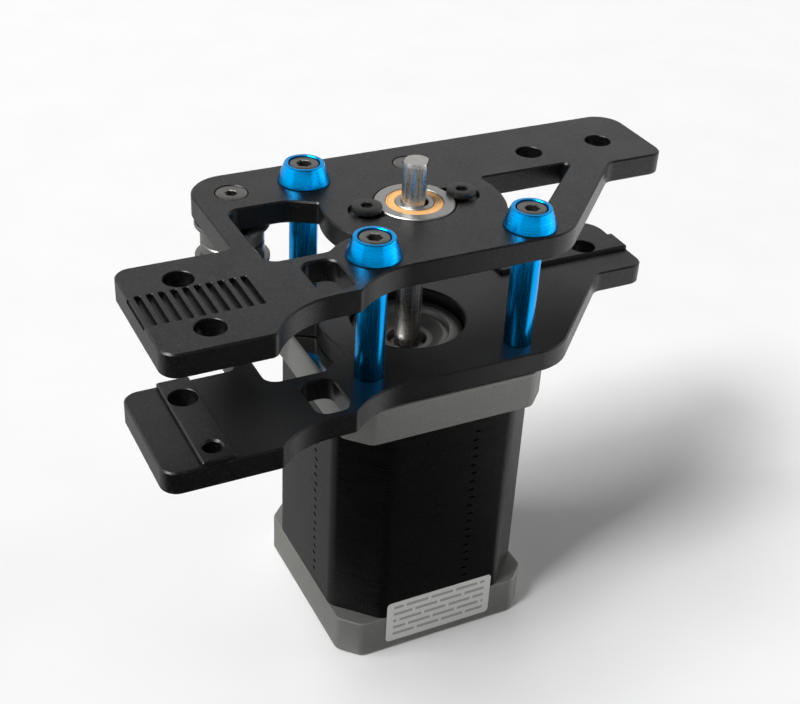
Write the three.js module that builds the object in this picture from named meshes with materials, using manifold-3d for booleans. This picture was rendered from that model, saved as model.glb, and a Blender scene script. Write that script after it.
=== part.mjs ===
// Belt-drive motor mount: a long-shaft stepper motor under two machined plates that are clamped
// together by three standoffs, with a flanged bearing that supports the shaft's upper end and two
// pairs of flanged bearings that guide the belt between the plates.
// Millimetres, +Z up. The origin is where the shaft axis meets the motor's flat rear face.
import * as THREE from 'three';
import { mergeVertices } from 'three/addons/utils/BufferGeometryUtils.js';
import Module from 'manifold-3d';

const wasm = await Module();
wasm.setup();

// ---------------------------------------------------------------- driving dimensions
const MOTOR_SIDE = 42.3; // square end castings
const STATOR_SIDE = 42.0; // laminated stack
const SCREW_PITCH = 31; // square of M3 screws at the motor's corners
const REAR_CAP_TOP = 8.7;
const STATOR_TOP = 52.9;
const MOTOR_TOP = 60.5;
const PILOT_RADIUS = 11;
const PILOT_HEIGHT = 2;

const PLATE_THICKNESS = 4.5;
const PLATE_GAP = 20; // takes a 20 mm profile
const LOWER_PLATE_Z = MOTOR_TOP;
const LOWER_PLATE_TOP = LOWER_PLATE_Z + PLATE_THICKNESS;
const UPPER_PLATE_Z = LOWER_PLATE_TOP + PLATE_GAP;
const UPPER_PLATE_TOP = UPPER_PLATE_Z + PLATE_THICKNESS;
const KEY_WIDTH = 6; // enters the slot of a 20 mm profile
const KEY_HEIGHT = 0.9;

const SHAFT_RADIUS = 2.5;
const SHAFT_TOP = 97.9;
const SHAFT_FLAT_DEPTH = 0.5;
const SHAFT_FLAT_START = 72.5;
const SHAFT_FLAT_ANGLE = THREE.MathUtils.degToRad(-34.6); // direction that the flat faces

const M3_RADIUS = 1.5;
const M3_HOLE = 1.65;
const M3_HEAD_RADIUS = 2.75;
const M5_HOLE = 2.65;

const IDLER_PLACES = { left: [-30, 15.2], right: [6.3, 15.5] };
const half = SCREW_PITCH / 2;
const CLAMP_PLACES = {
  left_back: [-half, half],
  left_front: [-half, -half],
  right_front: [half, -half],
};
const FOURTH_CORNER = [half, half];

const CLEARANCE = 0.1; // radial, between a ring and its seat
const FINE = 24; // facets round coaxial turning parts
const COARSE = 12; // facets round small screws and their holes
const THROUGH = 1; // how far a cutter runs past a face

// ---------------------------------------------------------------- materials
function material(color, roughness, metalness) {
  return new THREE.MeshStandardMaterial({ color, roughness, metalness });
}

const MATERIALS = {
  plate: material(0x232425, 0.55, 0.6),
  blue: material(0x0a86d8, 0.28, 0.9),
  blackSteel: material(0x2c2b29, 0.4, 0.8),
  steel: material(0xb9b8b2, 0.25, 1.0),
  castAluminium: material(0x9b9a94, 0.5, 0.9),
  lamination: material(0x101010, 0.35, 0.6),
  magnet: material(0x55565a, 0.4, 0.9),
  copper: material(0xa8532a, 0.4, 0.8),
  seal: material(0xf0a860, 0.6, 0.0),
  label: material(0xe9e9e6, 0.5, 0.0),
  socket: material(0xe8e4d8, 0.5, 0.0),
  board: material(0x1d4a2c, 0.5, 0.0),
};

// ---------------------------------------------------------------- solids
function signedVolume(points, triangles) {
  const corner = (k) => new THREE.Vector3().fromArray(points, 3 * triangles[k]);
  let volume = 0;
  for (let k = 0; k < triangles.length; k += 3) {
    volume += corner(k).dot(corner(k + 1).cross(corner(k + 2))) / 6;
  }
  return volume;
}

function solid(geometry) {
  geometry.deleteAttribute('normal');
  geometry.deleteAttribute('uv');
  const merged = mergeVertices(geometry, 1e-4);
  const index = merged.index.array;
  const points = Float32Array.from(merged.attributes.position.array);
  const triangles = [];
  for (let k = 0; k < index.length; k += 3) {
    const [a, b, c] = [index[k], index[k + 1], index[k + 2]];
    if (a !== b && b !== c && c !== a) triangles.push(a, b, c);
  }
  if (signedVolume(points, triangles) < 0) triangles.reverse();
  const mesh = new wasm.Mesh({
    numProp: 3,
    vertProperties: points,
    triVerts: Uint32Array.from(triangles),
  });
  return new wasm.Manifold(mesh);
}

function join(...solids) {
  return solids.reduce((whole, next) => whole.add(next));
}

function cut(body, ...tools) {
  return tools.reduce((left, tool) => left.subtract(tool), body);
}

function toGeometry(manifold) {
  const mesh = manifold.getMesh();
  const geometry = new THREE.BufferGeometry();
  geometry.setAttribute('position', new THREE.BufferAttribute(mesh.vertProperties, 3));
  geometry.setIndex(new THREE.BufferAttribute(mesh.triVerts, 1));
  geometry.computeVertexNormals();
  return geometry;
}

// A profile is a list of [radius, height]; it is turned round Z.
function turned(profile, facets = FINE) {
  const points = profile.map(([radius, height]) => new THREE.Vector2(radius, height));
  return solid(new THREE.LatheGeometry(points, facets).rotateX(Math.PI / 2));
}

// A ring's profile closes on itself.
function turnedRing(profile, facets = FINE) {
  return turned([...profile, profile[0]], facets);
}

function disc(radius, low, high, facets = FINE) {
  return turned([[0, low], [radius, low], [radius, high], [0, high]], facets);
}

function block([x0, y0, z0], [x1, y1, z1]) {
  const geometry = new THREE.BoxGeometry(x1 - x0, y1 - y0, z1 - z0);
  return solid(geometry.translate((x0 + x1) / 2, (y0 + y1) / 2, (z0 + z1) / 2));
}

function hexagon(acrossFlats, low, high) {
  const radius = acrossFlats / Math.sqrt(3);
  const geometry = new THREE.CylinderGeometry(radius, radius, high - low, 6);
  return solid(geometry.rotateX(Math.PI / 2).translate(0, 0, (low + high) / 2));
}

function prism(points, low, high) {
  const geometry = new THREE.ExtrudeGeometry(new THREE.Shape(points), {
    depth: high - low,
    bevelEnabled: false,
  });
  return solid(geometry.translate(0, 0, low));
}

// A round hole from one face to the other.
function holeCutter(x, y, radius, low, high, facets = 16) {
  return disc(radius, low - THROUGH, high + THROUGH, facets).translate([x, y, 0]);
}

// ---------------------------------------------------------------- outlines
const ARC_STEP = THREE.MathUtils.degToRad(15);

function arc(cx, cy, radius, fromDegrees, toDegrees) {
  const from = THREE.MathUtils.degToRad(fromDegrees);
  const to = THREE.MathUtils.degToRad(toDegrees);
  const steps = Math.max(2, Math.ceil(Math.abs(to - from) / ARC_STEP));
  const points = [];
  for (let k = 0; k <= steps; k++) {
    const angle = from + ((to - from) * k) / steps;
    points.push(new THREE.Vector2(cx + radius * Math.cos(angle), cy + radius * Math.sin(angle)));
  }
  return points;
}

function corner(x, y, radius) {
  return { at: new THREE.Vector2(x, y), radius };
}

// Rounds one corner between the points before and after it.
function roundedCorner(before, { at, radius }, after) {
  const toBefore = before.clone().sub(at).normalize();
  const toAfter = after.clone().sub(at).normalize();
  const halfAngle = Math.acos(THREE.MathUtils.clamp(toBefore.dot(toAfter), -1, 1)) / 2;
  const bisector = toBefore.clone().add(toAfter).normalize();
  const centre = at.clone().addScaledVector(bisector, radius / Math.sin(halfAngle));
  const start = at.clone().addScaledVector(toBefore, radius / Math.tan(halfAngle)).sub(centre);
  const end = at.clone().addScaledVector(toAfter, radius / Math.tan(halfAngle)).sub(centre);
  const from = start.angle();
  let sweep = end.angle() - from;
  if (sweep > Math.PI) sweep -= 2 * Math.PI;
  if (sweep < -Math.PI) sweep += 2 * Math.PI;
  const degrees = THREE.MathUtils.radToDeg;
  return arc(centre.x, centre.y, radius, degrees(from), degrees(from + sweep));
}

// Pieces are corners with a radius, or lists of points that arc() made.
function outline(pieces) {
  const firstPoint = (piece) => (Array.isArray(piece) ? piece[0] : piece.at);
  const lastPoint = (piece) => (Array.isArray(piece) ? piece[piece.length - 1] : piece.at);
  return pieces.flatMap((piece, k) => {
    if (Array.isArray(piece)) return piece;
    const before = lastPoint(pieces[(k + pieces.length - 1) % pieces.length]);
    const after = firstPoint(pieces[(k + 1) % pieces.length]);
    return roundedCorner(before, piece, after);
  });
}

function rectangle(x0, y0, x1, y1, radius) {
  return outline([
    corner(x0, y0, radius),
    corner(x1, y0, radius),
    corner(x1, y1, radius),
    corner(x0, y1, radius),
  ]);
}

// ---------------------------------------------------------------- the two plates
const SHOULDER_X = -37.3;
const TAB_LEFT_X = -58.5;
const FRONT_Y = -20.9;

// The tabs differ a little between the plates; the waist between them is the same.
const UPPER_PLATE = {
  back: 23,
  tabBack: -4.9,
  tabFront: -33.1,
  ribOffset: 41.9,
  rightFront: 2,
  right: 57.3,
  rightHoles: [[31.2, 11.7], [47.4, 11.7]],
  leftHoles: [[-48.9, -11.4], [-49, -27.4]],
};
const LOWER_PLATE = {
  back: 22.4,
  tabBack: -5.2,
  tabFront: -30.3,
  ribOffset: 43.1,
  rightFront: 0.6,
  right: 55.8,
};
const LEFT_KEY_X = -49;
const LEFT_KEY_BOLT_Y = -11.4;
const LEFT_KEY_PIN_Y = -26.5;
const RIGHT_KEY_Y = 10.5;
const RIGHT_KEY_START = 25;
const RIGHT_KEY_BOLTS_X = [30.4, 46.4];

const SCALLOP = { x: -27, y: -40.8, radius: 15.1, endDegrees: 94, leadDegrees: 9 };

function plateOutline(plate) {
  const rise = plate.tabFront - SCALLOP.y;
  const startDegrees = 180 - THREE.MathUtils.radToDeg(Math.asin(rise / SCALLOP.radius));
  const tabEnd = SCALLOP.x - Math.sqrt(SCALLOP.radius ** 2 - rise ** 2);
  const scallopFrom = startDegrees - SCALLOP.leadDegrees;
  return outline([
    corner(SHOULDER_X, plate.back, 7.5),
    corner(SHOULDER_X, plate.tabBack, 1.5),
    corner(TAB_LEFT_X, plate.tabBack, 3),
    corner(TAB_LEFT_X, plate.tabFront, 3),
    corner(tabEnd, plate.tabFront, 1.5),
    arc(SCALLOP.x, SCALLOP.y, SCALLOP.radius, scallopFrom, SCALLOP.endDegrees),
    corner(-22.2, -25.6, 1.2),
    corner(-16.2, FRONT_Y, 16),
    corner(plate.ribOffset + FRONT_Y, FRONT_Y, 10),
    corner(plate.ribOffset + plate.rightFront, plate.rightFront, 3.5),
    corner(plate.right, plate.rightFront, 3),
    corner(plate.right, plate.back, 5.5),
  ]);
}

// Openings that lighten a plate and leave lobes round the screws and the shaft.
const LOBE_RADIUS = 7.4;

function leftWindow() {
  return outline([
    corner(-33.5, 8.7, 2.5),
    corner(-33.5, -11.5, 2.5),
    corner(-22.25, -11.5, 2.5),
    arc(-half, -half, LOBE_RADIUS, 130, 92),
    arc(0, 0, 17.5, 206, 165),
    corner(-16.55, 5.7, 0.8),
    corner(-21.6, 8.7, 8),
  ]);
}

function rightWindow() {
  return outline([
    corner(37.1, 5, 1),
    corner(16.4, 5, 0.8),
    arc(0, 0, 17.2, 11, -27),
    arc(half, -half, LOBE_RADIUS, 91, 40),
  ]);
}

const SMALL_WINDOW = rectangle(-28.8, -23.9, -22.3, -13.9, 2.2);

function plateBlank(plate, low, windows) {
  const cutters = windows.map((points) => {
    return prism(points, low - THROUGH, low + PLATE_THICKNESS + THROUGH);
  });
  return cut(prism(plateOutline(plate), low, low + PLATE_THICKNESS), ...cutters);
}

// Recess for the bearing's flange, with an ear on each side for a retaining screw.
const FLANGE_RECESS_RADIUS = 7.7;
const FLANGE_RECESS_DEPTH = 0.8;
const EAR_RADIUS = 3.4;
const EAR_X = 9.7;
const EAR_FILLET = 2;

function bearingPocketOutline() {
  const main = FLANGE_RECESS_RADIUS + EAR_FILLET;
  const ear = EAR_RADIUS + EAR_FILLET;
  const x = (EAR_X ** 2 + main ** 2 - ear ** 2) / (2 * EAR_X);
  const y = Math.sqrt(main ** 2 - x ** 2);
  const degrees = THREE.MathUtils.radToDeg;
  const mainAngle = degrees(Math.atan2(y, x));
  const earAngle = degrees(Math.atan2(y, x - EAR_X));
  const right = [
    ...arc(x, -y, EAR_FILLET, 180 - mainAngle, 180 - earAngle),
    ...arc(EAR_X, 0, EAR_RADIUS, -earAngle, earAngle).slice(1, -1),
    ...arc(x, y, EAR_FILLET, earAngle - 180, mainAngle - 180),
  ];
  const left = right.map((point) => point.clone().multiplyScalar(-1));
  const top = arc(0, 0, FLANGE_RECESS_RADIUS, mainAngle, 180 - mainAngle).slice(1, -1);
  const bottom = top.map((point) => point.clone().multiplyScalar(-1));
  return [...right, ...top, ...left, ...bottom];
}

const GROOVE = { count: 11, pitch: 2, first: -38.8, width: 1.1, depth: 0.9, front: -23.7, back: -14.4 };

// One belt-tooth groove along Y.
function grooveCutter(x) {
  const halfWidth = GROOVE.width / 2;
  return block(
    [x - halfWidth, GROOVE.front, UPPER_PLATE_TOP - GROOVE.depth],
    [x + halfWidth, GROOVE.back, UPPER_PLATE_TOP + THROUGH],
  );
}

const SINK = { headRadius: 3.1, rim: 0.3, depth: 1.75 };

// Countersink from the top face, with the clearance hole under it.
function countersinkCutter([x, y], low, high) {
  const profile = [
    [0, low - THROUGH],
    [M3_HOLE, low - THROUGH],
    [M3_HOLE, high - SINK.depth],
    [SINK.headRadius, high - SINK.rim],
    [SINK.headRadius, high + THROUGH],
    [0, high + THROUGH],
  ];
  return turned(profile, 16).translate([x, y, 0]);
}

function screwHole([x, y], low, high) {
  return holeCutter(x, y, M3_HOLE, low, high, COARSE);
}

function makeUpperPlate() {
  const [low, high] = [UPPER_PLATE_Z, UPPER_PLATE_TOP];
  const pocket = bearingPocketOutline();
  const grooves = Array.from({ length: GROOVE.count }, (_, k) => GROOVE.first - k * GROOVE.pitch);
  const boltHoles = [...UPPER_PLATE.leftHoles, ...UPPER_PLATE.rightHoles];
  return cut(
    plateBlank(UPPER_PLATE, low, [leftWindow(), rightWindow(), SMALL_WINDOW]),
    prism(pocket, high - FLANGE_RECESS_DEPTH, high + THROUGH),
    disc(BEARINGS.support.outer + CLEARANCE, low - THROUGH, high + THROUGH),
    ...grooves.map(grooveCutter),
    ...boltHoles.map(([x, y]) => holeCutter(x, y, M5_HOLE, low, high)),
    ...Object.values(CLAMP_PLACES).map((place) => screwHole(place, low, high)),
    ...Object.values(IDLER_PLACES).map((place) => countersinkCutter(place, low, high)),
    ...[-EAR_X, EAR_X].map((x) => screwHole([x, 0], low, high)),
  );
}

function makeLowerPlate() {
  const [low, high] = [LOWER_PLATE_Z, LOWER_PLATE_TOP];
  const keyTop = high + KEY_HEIGHT;
  const keyRoot = high - 1;
  const halfKey = KEY_WIDTH / 2;
  const leftKey = rectangle(
    LEFT_KEY_X - halfKey, LOWER_PLATE.tabFront, LEFT_KEY_X + halfKey, LOWER_PLATE.tabBack, 0.4,
  );
  const rightKey = rectangle(
    RIGHT_KEY_START, RIGHT_KEY_Y - halfKey, LOWER_PLATE.right, RIGHT_KEY_Y + halfKey, 0.4,
  );
  const keys = [leftKey, rightKey].map((points) => prism(points, keyRoot, keyTop));
  return cut(
    join(plateBlank(LOWER_PLATE, low, [leftWindow(), SMALL_WINDOW]), ...keys),
    holeCutter(0, 0, PILOT_RADIUS + 2 * CLEARANCE, low, high, FINE),
    holeCutter(LEFT_KEY_X, LEFT_KEY_BOLT_Y, M5_HOLE, low, keyTop),
    holeCutter(LEFT_KEY_X, LEFT_KEY_PIN_Y, M3_HOLE, low, keyTop),
    ...RIGHT_KEY_BOLTS_X.map((x) => holeCutter(x, RIGHT_KEY_Y, M5_HOLE, low, keyTop)),
    ...Object.values(CLAMP_PLACES).map((place) => screwHole(place, low, high)),
    ...Object.values(IDLER_PLACES).map((place) => screwHole(place, low, high)),
    countersinkCutter(FOURTH_CORNER, low, high),
  );
}

// ---------------------------------------------------------------- clamping hardware
const CONE = { baseRadius: 5, topRadius: 3.73, height: 3.6, seat: 0.6, boreRadius: 2.95, lip: 0.3 };
const CAP_HEAD_HEIGHT = 2.9;
const SCREW_END = 55.2; // where the clamp screws stop in the motor's threads

function makeStandoff() {
  const [radius, height, chamfer] = [2.75, PLATE_GAP, 0.3];
  return turnedRing([
    [M3_HOLE, 0],
    [radius - chamfer, 0],
    [radius, chamfer],
    [radius, height - chamfer],
    [radius - chamfer, height],
    [M3_HOLE, height],
  ], 16);
}

function makeConeWasher() {
  return turnedRing([
    [M3_HOLE, 0],
    [CONE.baseRadius - CONE.lip, 0],
    [CONE.baseRadius, CONE.lip],
    [CONE.topRadius, CONE.height],
    [CONE.boreRadius, CONE.height],
    [CONE.boreRadius, CONE.seat],
    [M3_HOLE, CONE.seat],
  ], FINE);
}

// Socket cap screw: the head stands on z = 0 and the shank hangs below.
function makeCapScrew(length) {
  const chamfer = 0.2;
  const body = turned([
    [0, -length],
    [M3_RADIUS, -length],
    [M3_RADIUS, 0],
    [M3_HEAD_RADIUS, 0],
    [M3_HEAD_RADIUS, CAP_HEAD_HEIGHT - chamfer],
    [M3_HEAD_RADIUS - chamfer, CAP_HEAD_HEIGHT],
    [0, CAP_HEAD_HEIGHT],
  ], COARSE);
  return cut(body, hexagon(2.5, CAP_HEAD_HEIGHT - 1.5, CAP_HEAD_HEIGHT + THROUGH));
}

// Countersunk screw: the head is flush with z = 0 and the shank hangs below.
function makeCountersunkScrew(length) {
  const headRadius = 2.95;
  const flush = -0.05;
  const rim = 0.2;
  const coneDepth = headRadius - M3_RADIUS;
  const body = turned([
    [0, -length],
    [M3_RADIUS, -length],
    [M3_RADIUS, flush - rim - coneDepth],
    [headRadius, flush - rim],
    [headRadius, flush],
    [0, flush],
  ], 16);
  return cut(body, hexagon(2, -1.1, THROUGH));
}

// Low-head screw that holds the bearing's flange: the head's underside is at z = 0.
function makeRetainingScrew() {
  const headRadius = 2.85;
  const headHeight = 0.9;
  const body = turned([
    [0, -5],
    [M3_RADIUS, -5],
    [M3_RADIUS, 0],
    [headRadius, 0],
    [headRadius, headHeight - 0.15],
    [headRadius - 0.15, headHeight],
    [0, headHeight],
  ], COARSE);
  return cut(body, hexagon(2, 0.2, headHeight + THROUGH));
}

// ---------------------------------------------------------------- ball bearings
const BEARINGS = {
  support: { bore: 2.55, outer: 6.5, innerLand: 3.6, outerLand: 5.45, ball: 0.86, width: 4, flange: 7.5 },
  motor: { bore: 2.55, outer: 6.5, innerLand: 3.6, outerLand: 5.45, ball: 0.86, width: 4 },
  idler: { bore: 2.05, outer: 6, innerLand: 3.1, outerLand: 4.9, ball: 0.84, width: 4, flange: 7.05 },
};
const FLANGE_WIDTH = { support: 1, idler: 0.8 };
const BALL_COUNT = 7;

function makeInnerRing({ bore, innerLand, width }) {
  return turnedRing([[bore, 0], [innerLand, 0], [innerLand, width], [bore, width]]);
}

// The flange, if there is one, is at the upper end.
function makeOuterRing({ outer, outerLand, width, flange = outer }, flangeWidth = 0) {
  const flanged = flange > outer ? [[outer, width - flangeWidth], [flange, width - flangeWidth]] : [];
  return turnedRing([
    [outerLand, 0],
    [outer, 0],
    ...flanged,
    [flange, width],
    [outerLand, width],
  ]);
}

// The balls and the cage that spaces them, as one piece that rolls round.
function makeBallSet({ innerLand, outerLand, ball, width }) {
  const pitch = (innerLand + outerLand) / 2;
  const cage = turnedRing([
    [pitch - 0.3, width / 2 - 0.4],
    [pitch + 0.3, width / 2 - 0.4],
    [pitch + 0.3, width / 2 + 0.4],
    [pitch - 0.3, width / 2 + 0.4],
  ], BALL_COUNT);
  const balls = Array.from({ length: BALL_COUNT }, (_, k) => {
    const angle = (2 * Math.PI * k) / BALL_COUNT;
    const sphere = new THREE.IcosahedronGeometry(ball, 0);
    return solid(sphere.translate(pitch * Math.cos(angle), pitch * Math.sin(angle), width / 2));
  });
  return join(cage, ...balls);
}

function makeSeal({ innerLand, outerLand }) {
  const gap = 0.06;
  const [inner, outer, thickness] = [innerLand + gap, outerLand - gap, 0.4];
  return turnedRing([[inner, 0], [outer, 0], [outer, thickness], [inner, thickness]]);
}

// ---------------------------------------------------------------- motor
const CAVITY_RADIUS = 17.5;
const BEARING_SEAT_RADIUS = BEARINGS.motor.outer + CLEARANCE;
const BEARING_BOSS_RADIUS = 8.4;
const REAR_BEARING_Z = 2.2;
const FRONT_BEARING_Z = 54.4;
const ROTOR_RADIUS = 12;
const POLE_COUNT = 8;
const CORNERS = [[half, half], [-half, half], [-half, -half], [half, -half]];

// Square with its four corners cut off at 45 degrees.
function cutSquare(side, cutLength) {
  const [far, near] = [side / 2, side / 2 - cutLength];
  const points = [
    [far, -near], [far, near], [near, far], [-near, far],
    [-far, near], [-far, -near], [-near, -far], [near, -far],
  ];
  return points.map(([x, y]) => new THREE.Vector2(x, y));
}

function motorScrewHoles(low, high) {
  return CORNERS.map((place) => screwHole(place, low, high));
}

function makeFrontFlange() {
  const pilotTop = MOTOR_TOP + PILOT_HEIGHT;
  const rim = 0.5;
  const body = prism(cutSquare(MOTOR_SIDE, 4.4), STATOR_TOP, MOTOR_TOP);
  const pilot = turned([
    [0, STATOR_TOP + 5],
    [PILOT_RADIUS, STATOR_TOP + 5],
    [PILOT_RADIUS, pilotTop - rim],
    [PILOT_RADIUS - rim, pilotTop],
    [0, pilotTop],
  ]);
  const dish = turned([
    [0, MOTOR_TOP - 0.3],
    [5, MOTOR_TOP - 0.3],
    [7.2, MOTOR_TOP + 0.9],
    [8.1, MOTOR_TOP + 0.9],
    [8.1, pilotTop + THROUGH],
    [0, pilotTop + THROUGH],
  ]);
  const cavity = turnedRing([
    [BEARING_BOSS_RADIUS, STATOR_TOP - THROUGH],
    [CAVITY_RADIUS, STATOR_TOP - THROUGH],
    [CAVITY_RADIUS, 57],
    [BEARING_BOSS_RADIUS, 57],
  ]);
  return cut(
    join(body, pilot),
    dish,
    cavity,
    disc(BEARING_BOSS_RADIUS + 1, STATOR_TOP - THROUGH, FRONT_BEARING_Z - 0.4),
    disc(BEARING_SEAT_RADIUS, STATOR_TOP - THROUGH, FRONT_BEARING_Z + BEARINGS.motor.width),
    disc(3.9, STATOR_TOP, pilotTop),
    ...motorScrewHoles(STATOR_TOP, MOTOR_TOP),
  );
}

// The laminated stack: eight poles point inwards from the yoke.
function makeStator() {
  const yoke = 17.1;
  const body = prism(cutSquare(STATOR_SIDE, 8), REAR_CAP_TOP, STATOR_TOP);
  const bore = disc(yoke, REAR_CAP_TOP - THROUGH, STATOR_TOP + THROUGH, 32);
  const poleTip = 12.3;
  const shoe = 13;
  const poles = Array.from({ length: POLE_COUNT }, (_, k) => {
    const root = block([poleTip + 0.2, -2.7, REAR_CAP_TOP], [yoke + 0.5, 2.7, STATOR_TOP]);
    const tip = [...arc(0, 0, shoe, -17, 17), ...arc(0, 0, poleTip, 17, -17)];
    const pole = join(root, prism(tip, REAR_CAP_TOP, STATOR_TOP));
    return pole.rotate([0, 0, (360 * k) / POLE_COUNT]);
  });
  return cut(join(cut(body, bore), ...poles), ...motorScrewHoles(REAR_CAP_TOP, STATOR_TOP));
}

// Coils round all poles, joined by their end turns.
function makeWindings() {
  const [inner, outer, overhang] = [13.3, 16.7, 2];
  const ring = turnedRing([
    [inner, REAR_CAP_TOP - overhang],
    [outer, REAR_CAP_TOP - overhang],
    [outer, STATOR_TOP + overhang],
    [inner, STATOR_TOP + overhang],
  ], 32);
  const slots = Array.from({ length: POLE_COUNT }, (_, k) => {
    const slot = block([12, -3, REAR_CAP_TOP - 0.2], [18, 3, STATOR_TOP + 0.2]);
    return slot.rotate([0, 0, (360 * k) / POLE_COUNT]);
  });
  return cut(ring, ...slots);
}

const SOCKET = { halfWidth: 7.8, back: 16.9, front: 25.6, low: 2.7, high: 8.5, wall: 1.1, floor: 2.5 };
const PIN = { pitch: 2.5, count: 4, size: 0.64, z: 5.7, front: 23.6 };
const SCREW_HEAD_DEPTH = 3;

function pinPlaces() {
  return Array.from({ length: PIN.count }, (_, k) => (k - (PIN.count - 1) / 2) * PIN.pitch);
}

function makeRearCap() {
  const body = prism(cutSquare(MOTOR_SIDE, 3.9), 0, REAR_CAP_TOP);
  const cavity = turnedRing([
    [BEARING_BOSS_RADIUS, 2.5],
    [CAVITY_RADIUS, 2.5],
    [CAVITY_RADIUS, REAR_CAP_TOP + THROUGH],
    [BEARING_BOSS_RADIUS, REAR_CAP_TOP + THROUGH],
  ]);
  const opening = block(
    [-SOCKET.halfWidth - 0.2, 15, SOCKET.low - 0.1],
    [SOCKET.halfWidth + 0.2, MOTOR_SIDE / 2 + THROUGH, REAR_CAP_TOP + THROUGH],
  );
  const headPockets = CORNERS.map(([x, y]) => {
    return disc(M3_HEAD_RADIUS + 0.25, -THROUGH, SCREW_HEAD_DEPTH, COARSE).translate([x, y, 0]);
  });
  return cut(
    body,
    cavity,
    disc(BEARING_BOSS_RADIUS + 0.5, 6.4, REAR_CAP_TOP + THROUGH),
    disc(BEARING_SEAT_RADIUS, 1.5, REAR_CAP_TOP + THROUGH),
    opening,
    ...headPockets,
    ...motorScrewHoles(0, REAR_CAP_TOP),
  );
}

// Open towards +Y, where the cable plugs in.
function makeSocket() {
  const { halfWidth, back, front, low, high, wall, floor } = SOCKET;
  const hollow = block(
    [-halfWidth + wall, back + floor, low + wall],
    [halfWidth - wall, front + THROUGH, high - wall],
  );
  const pinHoles = pinPlaces().map((x) => {
    const reach = PIN.size / 2 + 0.15;
    return block([x - reach, back - THROUGH, PIN.z - reach], [x + reach, front, PIN.z + reach]);
  });
  const latch = block([-2.5, back + floor, high - wall - THROUGH], [2.5, front + THROUGH, high + THROUGH]);
  return cut(block([-halfWidth, back, low], [halfWidth, front, high]), hollow, latch, ...pinHoles);
}

// The board that joins the coil ends to the pins.
function makeTerminalBoard() {
  const board = block([-6.8, 15.3, 3.2], [6.8, 16.5, PIN.z + PIN.size]);
  const pins = pinPlaces().map((x) => {
    const reach = PIN.size / 2;
    return block([x - reach, 16, PIN.z - reach], [x + reach, PIN.front, PIN.z + reach]);
  });
  return join(board, ...pins);
}

function makeTieScrew() {
  const length = SCREW_END - 0.4 - SCREW_HEAD_DEPTH;
  const headHeight = 2.4;
  const body = turned([
    [0, -headHeight],
    [M3_HEAD_RADIUS - 0.4, -headHeight],
    [M3_HEAD_RADIUS, -headHeight + 0.8],
    [M3_HEAD_RADIUS, 0],
    [M3_RADIUS, 0],
    [M3_RADIUS, length],
    [0, length],
  ], COARSE);
  const slot = block([-2, -0.4, -headHeight - THROUGH], [2, 0.4, -headHeight + 1]);
  return cut(body, slot, slot.rotate([0, 0, 90]));
}

function makeShaft() {
  const chamfer = 0.6;
  const round = turned([
    [0, REAR_BEARING_Z],
    [SHAFT_RADIUS, REAR_BEARING_Z],
    [SHAFT_RADIUS, SHAFT_TOP - chamfer],
    [SHAFT_RADIUS - chamfer, SHAFT_TOP],
    [0, SHAFT_TOP],
  ]);
  const flatAt = SHAFT_RADIUS - SHAFT_FLAT_DEPTH;
  const flat = block([flatAt, -4, SHAFT_FLAT_START], [4, 4, SHAFT_TOP + THROUGH]);
  return cut(round, flat.rotate([0, 0, THREE.MathUtils.radToDeg(SHAFT_FLAT_ANGLE)]));
}

const ROTOR = { low: 11, high: 50.5, magnet: 1.6, teeth: 50, toothDepth: 0.7, bore: 2.56, step: 0.05 };

// Half of the rotor: a toothed iron core. The two halves are half a tooth apart.
function makeRotorCore(height, phase) {
  const points = Array.from({ length: ROTOR.teeth }, (_, k) => {
    const pitch = 360 / ROTOR.teeth;
    return [[0, 0], [0.5, 1]].map(([along, down]) => {
      const angle = THREE.MathUtils.degToRad(pitch * (k + along + phase));
      const radius = ROTOR_RADIUS - down * ROTOR.toothDepth;
      return new THREE.Vector2(radius * Math.cos(angle), radius * Math.sin(angle));
    });
  }).flat();
  const bore = disc(ROTOR.bore, -THROUGH, height + THROUGH);
  return cut(prism(points, 0, height), bore);
}

function makeMagnet() {
  const radius = ROTOR_RADIUS - 1.2;
  return turnedRing([[ROTOR.bore, 0], [radius, 0], [radius, ROTOR.magnet], [ROTOR.bore, ROTOR.magnet]]);
}

// Spring washer with three waves that preloads the rear bearing.
function makeWaveWasher() {
  const [inner, outer, thickness, wave] = [4.4, 6.2, 0.2, 0.12];
  const geometry = new THREE.LatheGeometry([
    new THREE.Vector2(inner, 0),
    new THREE.Vector2(outer, 0),
    new THREE.Vector2(outer, thickness),
    new THREE.Vector2(inner, thickness),
    new THREE.Vector2(inner, 0),
  ], FINE).rotateX(Math.PI / 2);
  const position = geometry.attributes.position;
  for (let k = 0; k < position.count; k++) {
    const angle = Math.atan2(position.getY(k), position.getX(k));
    position.setZ(k, position.getZ(k) + wave * Math.sin(3 * angle));
  }
  return solid(geometry);
}

// ---------------------------------------------------------------- belt idlers
const IDLER = { collarTop: 76.1, collarRadius: 3.3, journal: 2 };

function makeIdlerSleeve() {
  const step = IDLER.collarTop - LOWER_PLATE_TOP;
  return turnedRing([
    [1.6, 0],
    [IDLER.collarRadius, 0],
    [IDLER.collarRadius, step - 0.6],
    [IDLER.journal + 0.7, step],
    [IDLER.journal, step],
    [IDLER.journal, PLATE_GAP],
    [1.6, PLATE_GAP],
  ], FINE);
}

// Fills the space between the upper bearing and the upper plate.
function makeIdlerWasher(thickness) {
  const inner = IDLER.journal + 0.06;
  const outer = IDLER.collarRadius;
  return turnedRing([[inner, 0], [outer, 0], [outer, thickness], [inner, thickness]]);
}

// ---------------------------------------------------------------- assembly
function addPart(group, name, body, partMaterial, [x, y, z] = [0, 0, 0]) {
  const mesh = new THREE.Mesh(toGeometry(body), partMaterial);
  mesh.name = name;
  mesh.position.set(x, y, z);
  group.add(mesh);
  return mesh;
}

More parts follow.
